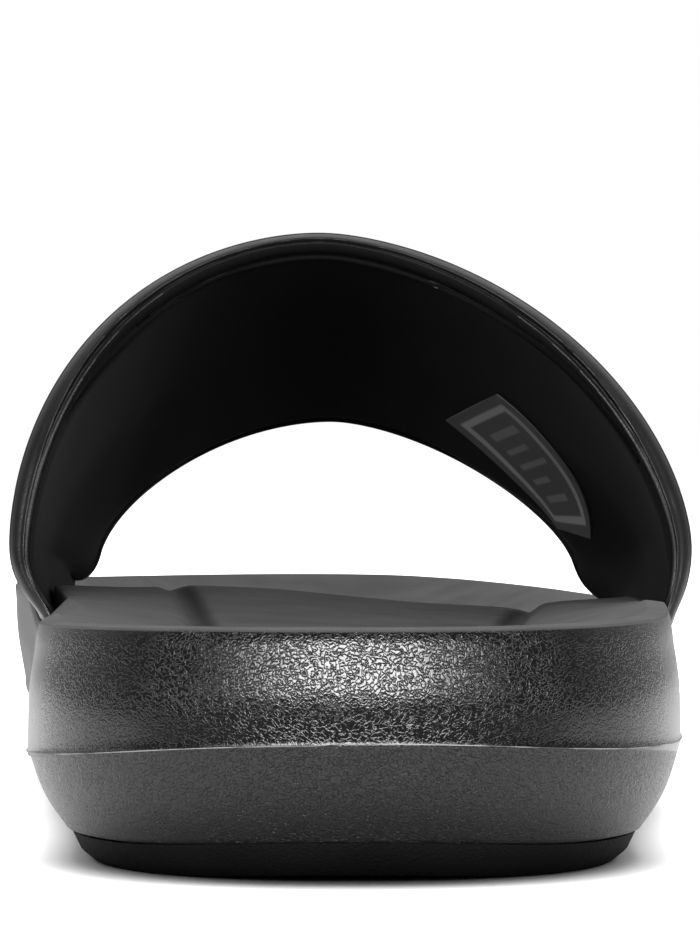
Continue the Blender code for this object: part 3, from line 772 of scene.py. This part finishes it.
grain, grain_in, grain_out = new_group(
    "pebble_grain",
    [("Pebble Size", 0.8), ("Wander", 0.35), ("Fine Noise", 0.3)],
    ["Height"],
)
place = new_node(grain, "ShaderNodeTexCoord").outputs["Object"]
per_metre = math_node(grain, "DIVIDE", 1000.0, grain_in.outputs["Pebble Size"])
bend = new_node(grain, "ShaderNodeTexNoise")
bend.inputs["Detail"].default_value = 2.0
grain.links.new(place, bend.inputs["Vector"])
grain.links.new(per_metre, bend.inputs["Scale"])
centred = new_node(grain, "ShaderNodeVectorMath", operation="SUBTRACT")
grain.links.new(bend.outputs["Color"], centred.inputs[0])
centred.inputs[1].default_value = (0.5, 0.5, 0.5)
wander_size = math_node(grain, "DIVIDE", grain_in.outputs["Wander"], per_metre)
wander = new_node(grain, "ShaderNodeVectorMath", operation="SCALE")
grain.links.new(centred.outputs["Vector"], wander.inputs[0])
grain.links.new(wander_size, wander.inputs["Scale"])
bent = new_node(grain, "ShaderNodeVectorMath", operation="ADD")
grain.links.new(place, bent.inputs[0])
grain.links.new(wander.outputs["Vector"], bent.inputs[1])
cells = new_node(grain, "ShaderNodeTexVoronoi", feature="DISTANCE_TO_EDGE")
grain.links.new(bent.outputs["Vector"], cells.inputs["Vector"])
grain.links.new(per_metre, cells.inputs["Scale"])
domes = map_range(grain, cells.outputs["Distance"], 0.0, 0.34, 0.0, 1.0)
fine = new_node(grain, "ShaderNodeTexNoise")
fine.inputs["Detail"].default_value = 3.0
grain.links.new(place, fine.inputs["Vector"])
grain.links.new(math_node(grain, "MULTIPLY", per_metre, 1.7), fine.inputs["Scale"])
fine_height = math_node(grain, "MULTIPLY", fine.outputs["Fac"], grain_in.outputs["Fine Noise"])
height = math_node(grain, "ADD", domes, fine_height)
grain.links.new(height, grain_out.inputs["Height"])

# %% [markdown]
# ## The moulded foam's grain, as a node group
#
# The skin of the foam copies a textured mould: flat little plateaus parted by short, crooked
# valleys. Noise has such crooked lines in it, where its value crosses the middle. The group takes
# a narrow band round that crossing from two noises, breaks the lines up with a third, and lets
# the plateaus tilt with a fourth, so that each one catches the light at another moment.

# %% Build the foam grain group
VALLEY_BAND = 0.040  # half the width of a valley, in the noise's own units
SHOULDER_BAND = 0.13  # the soft slope down to a valley
SHOULDER = 0.20  # its depth, as a share of the valley's
TILT = 0.9  # how strongly the plateaus tilt, as a share of the valleys' depth

worms, worms_in, worms_out = new_group("foam_grain", [("Plateau Size", 0.8)], ["Height"])
worms_place = new_node(worms, "ShaderNodeTexCoord").outputs["Object"]
worms_scale = math_node(worms, "DIVIDE", 1000.0, worms_in.outputs["Plateau Size"])


def scaled_noise(share, detail, offset):
    """Noise in the grain group, at a share of its scale and moved aside so that no two agree."""
    moved = new_node(worms, "ShaderNodeVectorMath", operation="ADD")
    worms.links.new(worms_place, moved.inputs[0])
    moved.inputs[1].default_value = offset
    node = new_node(worms, "ShaderNodeTexNoise")
    node.inputs["Detail"].default_value = detail
    worms.links.new(moved.outputs["Vector"], node.inputs["Vector"])
    worms.links.new(math_node(worms, "MULTIPLY", worms_scale, share), node.inputs["Scale"])
    return node.outputs["Fac"]


def crossing(value, half_band):
    """1 where a noise crosses its middle, 0 away from it."""
    centred_value = math_node(worms, "SUBTRACT", value, 0.5)
    away = math_node(worms, "ABSOLUTE", centred_value, 0.0)
    return map_range(worms, away, 0.0, half_band, 1.0, 0.0)


first_noise = scaled_noise(1.0, 0.6, (0.0, 0.0, 0.0))
second_noise = scaled_noise(1.25, 0.6, (0.31, 0.17, 0.23))
first_lines = crossing(first_noise, VALLEY_BAND)
second_lines = crossing(second_noise, VALLEY_BAND)
shoulders = math_node(
    worms, "MAXIMUM", crossing(first_noise, SHOULDER_BAND), crossing(second_noise, SHOULDER_BAND)
)
broken = map_range(worms, scaled_noise(0.8, 1.0, (0.7, 0.4, 0.9)), 0.42, 0.56, 0.15, 1.0)
kept_lines = math_node(worms, "MULTIPLY", first_lines, broken)
both_lines = math_node(worms, "MAXIMUM", kept_lines, second_lines)
tilt = math_node(worms, "MULTIPLY", scaled_noise(0.7, 1.5, (0.5, 0.1, 0.6)), TILT)
hollow = math_node(worms, "ADD", both_lines, math_node(worms, "MULTIPLY", shoulders, SHOULDER))
worms.links.new(math_node(worms, "SUBTRACT", tilt, hollow), worms_out.inputs["Height"])

# %% [markdown]
# ## Dust, as a node group
#
# Black shoes show every grain of dust. A sparse Voronoi pattern gives one speck per cell, and a
# random value per cell throws most of them away.

# %% Build the dust group
dust, dust_in, dust_out = new_group(
    "dust_specks", [("Spacing", 4.0), ("Speck Size", 0.12), ("Kept", 0.25)], ["Mask"]
)
dust_place = new_node(dust, "ShaderNodeTexCoord").outputs["Object"]
dust_scale = math_node(dust, "DIVIDE", 1000.0, dust_in.outputs["Spacing"])
specks = new_node(dust, "ShaderNodeTexVoronoi", feature="F1")
dust.links.new(dust_place, specks.inputs["Vector"])
dust.links.new(dust_scale, specks.inputs["Scale"])
tone = new_node(dust, "ShaderNodeSeparateXYZ")
dust.links.new(specks.outputs["Color"], tone.inputs["Vector"])
speck_share = math_node(dust, "DIVIDE", dust_in.outputs["Speck Size"], dust_in.outputs["Spacing"])
near = math_node(dust, "LESS_THAN", specks.outputs["Distance"], speck_share)
kept = math_node(dust, "LESS_THAN", tone.outputs["X"], dust_in.outputs["Kept"])
dust.links.new(math_node(dust, "MULTIPLY", near, kept), dust_out.inputs["Mask"])


# %% [markdown]
# ## Materials
#
# Each material is one Principled shader. Its plain numbers sit on the shader's own sockets, and
# only what changes over the surface comes in through nodes.

# %% Helpers for materials
def new_material(name, colour, roughness, specular):
    """A Principled material with plain values, and its node tree and shader."""
    material = bpy.data.materials.new(name)
    material.use_nodes = True
    shader = material.node_tree.nodes["Principled BSDF"]
    shader.inputs["Base Color"].default_value = (*colour, 1.0)
    shader.inputs["Roughness"].default_value = roughness
    shader.inputs["Specular IOR Level"].default_value = specular
    material.diffuse_color = (*colour, 1.0)
    return material, material.node_tree, shader


def use_group(tree, group, **values):
    node = new_node(tree, "ShaderNodeGroup", node_tree=group)
    for name, value in values.items():
        node.inputs[name.replace("_", " ")].default_value = value
    return node


def bump(tree, shader, height, depth, strength=1.0, before=None):
    """Feeds a height into the shader's Normal, on top of an earlier bump if there is one."""
    node = new_node(tree, "ShaderNodeBump")
    node.inputs["Distance"].default_value = depth
    if isinstance(strength, (int, float)):
        node.inputs["Strength"].default_value = strength
    else:
        tree.links.new(strength, node.inputs["Strength"])
    tree.links.new(height, node.inputs["Height"])
    if before is not None:
        tree.links.new(before, node.inputs["Normal"])
    tree.links.new(node.outputs["Normal"], shader.inputs["Normal"])
    return node.outputs["Normal"]


def mix_colour(tree, mask, first, second):
    """A colour that goes from the first to the second as the mask goes from 0 to 1."""
    node = new_node(tree, "ShaderNodeMix", data_type="RGBA")
    tree.links.new(mask, node.inputs["Factor"])
    for socket, colour in (("A", first), ("B", second)):
        found = [s for s in node.inputs if s.name == socket and s.type == "RGBA"][0]
        if isinstance(colour, tuple):
            found.default_value = (*colour, 1.0)
        else:
            tree.links.new(colour, found)
    return [s for s in node.outputs if s.type == "RGBA"][0]


def noise_at(tree, scale, detail=3.0, stretch=None):
    """Noise on the object's own coordinates, scale in blobs per metre."""
    coordinates = new_node(tree, "ShaderNodeTexCoord").outputs["Object"]
    if stretch:
        mapping = new_node(tree, "ShaderNodeMapping")
        mapping.inputs["Scale"].default_value = stretch
        tree.links.new(coordinates, mapping.inputs["Vector"])
        coordinates = mapping.outputs["Vector"]
    node = new_node(tree, "ShaderNodeTexNoise")
    node.inputs["Scale"].default_value = scale
    node.inputs["Detail"].default_value = detail
    tree.links.new(coordinates, node.inputs["Vector"])
    return node.outputs["Fac"]


# %% [markdown]
# ### Moulded foam
#
# Above the mould line the heel's wall is glossy, and its grain sparkles in the softbox. The grain
# is shallow at the line and deepens over the next few millimetres. The gloss fades along the
# sole, and below the line and on the footbed the skin is more matte. The heights come from the
# object's own coordinates, and the footbed is where the surface looks up.

# %% Make the foam
FOAM = (0.0026, 0.0026, 0.0028)
FOAM_DUSTY = (0.0050, 0.0050, 0.0053)
FOOTBED = (0.0560, 0.0560, 0.0570)
FOOTBED_DARK = (0.0120, 0.0120, 0.0125)
DUST_COLOUR = (0.30, 0.30, 0.30)
PARTING_Z = 16.1 * MM  # the mould line's height at the heel
LINE_SLOPE = 0.08  # how far it comes down per step along the sole
LINE_SOFT = 0.4 * MM
LOOKS_UP = (0.45, 0.8)  # from wall to footbed
# The grain's strength is 1 below the line and deepens again between two heights above it.
AT_LINE = 0.16
DEEP_GRAIN = (PARTING_Z + 2.5 * MM, PARTING_Z + 7.0 * MM)
HEEL_BACK = (3.0 * MM, 10.0 * MM)  # how far from the heel it goes from the first to the second
HEEL_GRAIN, SIDE_GRAIN, LEAST_GRAIN = 0.54, 0.08, 0.05
GRAIN_DEPTH, FINE_DEPTH = 0.075 * MM, 0.008 * MM
FOAM_ROUGH, FOOTBED_ROUGH, HEEL_ROUGH = 0.38, 0.80, 0.11
HEEL_GLOSS = (-100.0 * MM, -136.0 * MM)  # from matte to polished, along the sole
FRONT_PART = (-60.0 * MM, -20.0 * MM)
FRONT_MATTE = 0.45

foam, foam_tree, foam_shader = new_material("charcoal_foam_skin", FOAM, 0.30, 0.30)
object_place = new_node(foam_tree, "ShaderNodeTexCoord").outputs["Object"]
foam_axes = new_node(foam_tree, "ShaderNodeSeparateXYZ")
foam_tree.links.new(object_place, foam_axes.inputs["Vector"])
surface = new_node(foam_tree, "ShaderNodeNewGeometry").outputs["Normal"]
facing = new_node(foam_tree, "ShaderNodeSeparateXYZ")
foam_tree.links.new(surface, facing.inputs["Vector"])
footbed = map_range(foam_tree, facing.outputs["Z"], *LOOKS_UP, 0.0, 1.0)
from_heel = math_node(foam_tree, "SUBTRACT", foam_axes.outputs["Y"], HEEL_Y)
line_drop = math_node(foam_tree, "MULTIPLY", from_heel, LINE_SLOPE)
level = math_node(foam_tree, "ADD", foam_axes.outputs["Z"], line_drop)
above_line = map_range(foam_tree, level, PARTING_Z, PARTING_Z + LINE_SOFT, 0.0, 1.0)
wall = math_node(foam_tree, "SUBTRACT", 1.0, footbed)
upper_wall = math_node(foam_tree, "MULTIPLY", wall, above_line)

wall_grain = use_group(foam_tree, worms, Plateau_Size=0.66)
deep_grain = map_range(foam_tree, level, *DEEP_GRAIN, 0.0, 1.0)
shallow = map_range(foam_tree, above_line, 0.0, 1.0, 1.0, AT_LINE)
wall_strength = math_node(foam_tree, "MULTIPLY", wall, shallow)
deep_wall = math_node(foam_tree, "MULTIPLY", wall, deep_grain)
heel_back = map_range(foam_tree, from_heel, *HEEL_BACK, HEEL_GRAIN, SIDE_GRAIN)
upper_strength = math_node(foam_tree, "MULTIPLY", deep_wall, heel_back)
grain_strength = math_node(foam_tree, "ADD", wall_strength, upper_strength)
full_strength = math_node(foam_tree, "ADD", grain_strength, LEAST_GRAIN)
wall_normal = bump(foam_tree, foam_shader, wall_grain.outputs["Height"], GRAIN_DEPTH, full_strength)
fine_grain = noise_at(foam_tree, 2600.0, detail=2.0)
grained = bump(foam_tree, foam_shader, fine_grain, FINE_DEPTH, 0.4, before=wall_normal)

# %% [markdown]
# The subdivision has softened the two grooves beside the footbed's banks. A bump along a slanted
# line deepens each again, and its middle is coloured darker: painted shade in the groove. The
# footbed is paler where it was trodden, in streaks, and dust lies on all of it.

# %% Deepen the two grooves, paint shade into them, and colour the foam
# Each groove: the x and y of a point on its line, and how far it goes aside per step along.
GROOVES = (
    (-21.2 * MM, -17.4 * MM, -0.117),
    (25.7 * MM, -27.9 * MM, 0.110),
)
GROOVE_FRONT = (-20.0 * MM, -5.0 * MM)
GROOVE_BACK = (-80.0 * MM, -55.0 * MM)
GROOVE_HALF_WIDTH = 2.2 * MM
GROOVE_DEPTH = 0.7 * MM


def groove_mask(tree, x, y, aside):
    """1 on a line along the sole, 0 beyond the groove's half width."""
    along = math_node(tree, "SUBTRACT", foam_axes.outputs["Y"], y)
    line = math_node(tree, "ADD", math_node(tree, "MULTIPLY", along, aside), x)
    away = math_node(tree, "SUBTRACT", foam_axes.outputs["X"], line)
    return map_range(tree, math_node(tree, "ABSOLUTE", away, 0.0), 0.0, GROOVE_HALF_WIDTH, 1.0, 0.0)


both_grooves = math_node(foam_tree, "MAXIMUM", *(groove_mask(foam_tree, *line) for line in GROOVES))
groove_front = map_range(foam_tree, foam_axes.outputs["Y"], *GROOVE_FRONT, 1.0, 0.0)
groove_back = map_range(foam_tree, foam_axes.outputs["Y"], *GROOVE_BACK, 0.0, 1.0)
groove_length = math_node(foam_tree, "MULTIPLY", groove_front, groove_back)
groove_here = math_node(foam_tree, "MULTIPLY", groove_length, footbed)
grooves = math_node(foam_tree, "MULTIPLY", both_grooves, groove_here)
groove_height = math_node(foam_tree, "SUBTRACT", 1.0, grooves)
bump(foam_tree, foam_shader, groove_height, GROOVE_DEPTH, 1.0, before=grained)

patchy = noise_at(foam_tree, 60.0, detail=4.0)
foam_colour = mix_colour(foam_tree, patchy, FOAM, FOAM_DUSTY)
streaks = noise_at(foam_tree, 220.0, detail=3.0, stretch=(0.35, 1.0, 1.0))
bed_colour = mix_colour(foam_tree, streaks, FOOTBED_DARK, FOOTBED)
# The middle of each groove on the footbed takes the dark foam colour: painted shade in the groove.
groove_shaded_bed = mix_colour(foam_tree, grooves, bed_colour, FOAM)
trodden_bed_and_groove_shade = mix_colour(foam_tree, footbed, foam_colour, groove_shaded_bed)
foam_dust = use_group(foam_tree, dust, Spacing=5.0, Speck_Size=0.16, Kept=0.15)
dust_and_groove_shade = mix_colour(foam_tree, foam_dust.outputs["Mask"], trodden_bed_and_groove_shade, DUST_COLOUR)
foam_tree.links.new(dust_and_groove_shade, foam_shader.inputs["Base Color"])
heel_part = map_range(foam_tree, foam_axes.outputs["Y"], *HEEL_GLOSS, 0.0, 1.0)
polished = math_node(foam_tree, "MULTIPLY", upper_wall, heel_part)
gloss_gain = math_node(foam_tree, "MULTIPLY", polished, FOAM_ROUGH - HEEL_ROUGH)
front_part = map_range(foam_tree, foam_axes.outputs["Y"], *FRONT_PART, 0.0, 1.0)
front_matte = math_node(foam_tree, "MULTIPLY", front_part, FRONT_MATTE)
matte = math_node(foam_tree, "MAXIMUM", footbed, front_matte)
foam_rough = map_range(foam_tree, matte, 0.0, 1.0, FOAM_ROUGH, FOOTBED_ROUGH, smooth=False)
foam_roughness = math_node(foam_tree, "SUBTRACT", foam_rough, gloss_gain)
foam_tree.links.new(foam_roughness, foam_shader.inputs["Roughness"])

# %% [markdown]
# The hair of foam at the mould line is coloured paler than the foam, darker in some places and
# pale in others: painted highlight along the thin line.

# %% Make the mould's flash
flash_foam, flash_tree, flash_shader = new_material("flash_foam", (0.05, 0.05, 0.05), 0.5, 0.5)
flash_glint_noise = noise_at(flash_tree, 140.0, detail=4.0)
flash_glint_mask = map_range(flash_tree, flash_glint_noise, 0.40, 0.62, 0.0, 1.0)
# The pale patches along the fin are painted highlight.
flash_colour_with_painted_glint = mix_colour(flash_tree, flash_glint_mask, (0.020, 0.020, 0.020), (0.16, 0.16, 0.16))
flash_tree.links.new(flash_colour_with_painted_glint, flash_shader.inputs["Base Color"])

# %% [markdown]
# ### Rubber, leather, lining and label
#
# These are all nearly black, and differ in gloss, grain and patches. The rubber is the dullest.

# %% Make the tread rubber
RUBBER_DARK = (0.0012, 0.0012, 0.0013)
RUBBER_PALE = (0.0030, 0.0030, 0.0030)

rubber, rubber_tree, rubber_shader = new_material("black_tread_rubber", RUBBER_PALE, 0.7, 0.05)
rubber_grain = use_group(rubber_tree, grain, Pebble_Size=0.6, Wander=0.5, Fine_Noise=0.6)
bump(rubber_tree, rubber_shader, rubber_grain.outputs["Height"], 0.05 * MM)
rubber_patchy = noise_at(rubber_tree, 90.0, detail=4.0)
rubber_colour = mix_colour(rubber_tree, rubber_patchy, RUBBER_DARK, RUBBER_PALE)
rubber_tree.links.new(rubber_colour, rubber_shader.inputs["Base Color"])

# %% [markdown]
# Strap and rolls have the same leather, but the rolls are smoother and mirror less.

# %% Make the synthetic leather
LEATHER = (0.0040, 0.0040, 0.0042)


def leather(name, colour, roughness, specular, grain_depth):
    material, tree, shader = new_material(name, colour, roughness, specular)
    pores = use_group(tree, grain, Pebble_Size=0.55, Wander=0.6, Fine_Noise=0.4)
    bump(tree, shader, pores.outputs["Height"], grain_depth)
    handled = noise_at(tree, 70.0, detail=4.0)
    shade = map_range(tree, handled, 0.3, 0.7, roughness - 0.05, roughness + 0.08)
    tree.links.new(shade, shader.inputs["Roughness"])
    paler = tuple(value * 1.5 for value in colour)
    tree.links.new(mix_colour(tree, handled, colour, paler), shader.inputs["Base Color"])
    return material


skin_leather = leather("strap_leather", LEATHER, 0.42, 0.35, 0.02 * MM)
roll_leather = leather("bound_edge_leather", LEATHER, 0.32, 0.20, 0.012 * MM)

# %% [markdown]
# The lining has a fine weave. The label's frame and bars are boxes on its own UV map.

# %% Make the lining and the label
LINING = (0.0025, 0.0025, 0.0026)
LINING_DARK = (0.0020, 0.0020, 0.0021)
LINING_PALE = (0.0040, 0.0040, 0.0042)
LABEL_CLOTH = (0.045, 0.045, 0.046)
LABEL_PRINT = (0.20, 0.20, 0.20)
BAR_STRENGTH = 0.45

lining, lining_nodes, lining_shader = new_material("soft_lining", LINING, 0.75, 0.05)
weave = noise_at(lining_nodes, 2200.0, detail=2.0)
bump(lining_nodes, lining_shader, weave, 0.03 * MM)
lining_tone = noise_at(lining_nodes, 45.0, detail=3.0)
lining_colour = mix_colour(lining_nodes, lining_tone, LINING_DARK, LINING_PALE)
lining_nodes.links.new(lining_colour, lining_shader.inputs["Base Color"])

label_cloth, label_nodes, label_shader = new_material("label_cloth", (0.03, 0.03, 0.03), 0.6, 0.3)
uv = new_node(label_nodes, "ShaderNodeUVMap", uv_map="UVMap").outputs["UV"]
uv_axes = new_node(label_nodes, "ShaderNodeSeparateXYZ")
label_nodes.links.new(uv, uv_axes.inputs["Vector"])


def band(tree, source, low, high, soft):
    """1 between low and high, 0 outside, with soft edges."""
    rise = map_range(tree, source, low - soft, low + soft, 0.0, 1.0)
    fall = map_range(tree, source, high - soft, high + soft, 1.0, 0.0)
    return math_node(tree, "MULTIPLY", rise, fall)


def label_box(left, right, lower, upper, soft=0.010):
    """1 inside a box on the label, 0 outside."""
    across_box = band(label_nodes, uv_axes.outputs["X"], left, right, 0.012)
    down_box = band(label_nodes, uv_axes.outputs["Y"], lower, upper, soft)
    return math_node(label_nodes, "MULTIPLY", across_box, down_box)


panel = label_box(0.10, 0.90, 0.07, 0.93)
core = label_box(0.17, 0.83, 0.12, 0.88)
frame_line = math_node(label_nodes, "SUBTRACT", panel, core)
bars = None
# Each bar: its lower and upper side, then its left and right end.
for lower, upper, left, right in (
    (0.72, 0.78, 0.28, 0.72),
    (0.60, 0.64, 0.28, 0.62),
    (0.48, 0.52, 0.28, 0.72),
    (0.36, 0.40, 0.28, 0.55),
    (0.22, 0.27, 0.28, 0.66),
):
    bar = label_box(left, right, lower, upper, soft=0.008)
    bars = bar if bars is None else math_node(label_nodes, "MAXIMUM", bars, bar)
faint_bars = math_node(label_nodes, "MULTIPLY", bars, BAR_STRENGTH)
marks = math_node(label_nodes, "MAXIMUM", frame_line, faint_bars)
label_colour = mix_colour(label_nodes, marks, LABEL_CLOTH, LABEL_PRINT)
label_nodes.links.new(label_colour, label_shader.inputs["Base Color"])

# %% [markdown]
# ## Put the finishes on
#
# The rolled edges carry two finishes: leather outside the seam and lining inside it. The faces
# past the seam are found the same way as the seam was placed. The wall of the strap's skin has
# an inner face too, and that is lining as well.

# %% Assign the materials
sole_foam.data.materials.append(foam)
parting_flash.data.materials.append(flash_foam)
tread.data.materials.append(rubber)
strap_skin.data.materials.clear()
strap_skin.data.materials.append(skin_leather)
strap_skin.data.materials.append(lining)
for face in strap_skin.data.polygons:
    face.material_index = 1 if looks_inside(face) else 0
strap_lining.data.materials.clear()
strap_lining.data.materials.append(lining)
label.data.materials.append(label_cloth)
for roll in (back_roll, front_roll):
    roll.data.materials.append(roll_leather)
    roll.data.materials.append(lining)
    for face in roll.data.polygons:
        across = face.normal.dot(outward(face.center))
        face.material_index = 1 if across < seam_place(face.center) else 0

# %% [markdown]
#
# Every piece rides on the sandal's one body. The foam, the tread, the leather and the rolled
# edges stand for their CAD solids, which are hidden.

# %% Ride on the body and hide the CAD solids that are replaced
SLOTS = (
    (sole_foam, "charcoal_foam", ("midsole",)),
    (parting_flash, "charcoal_foam", ()),
    (tread, "black_rubber", ("outsole",)),
    (strap_skin, "black_synthetic_leather", ("strap",)),
    (strap_lining, "black_synthetic_leather", ()),
    (label, "black_synthetic_leather", ()),
    (back_roll, "black_edging", ("strap_back_edge",)),
    (front_roll, "black_edging", ("strap_front_edge",)),
)
for piece, slot, nodes in SLOTS:
    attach(piece, "root")
    if nodes:
        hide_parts(*nodes)

# %% [markdown]
# ## Compare the sizes
#
# The dressed sandal has to fill the CAD model's box and stay in it, so both are written down.

bpy.context.view_layer.update()
low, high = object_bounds()
for side, cad, dressed in (("low", cad_low, low), ("high", cad_high, high)):
    print(side, "corner moved by mm:", [round((d - c) / MM, 2) for c, d in zip(cad, dressed)])
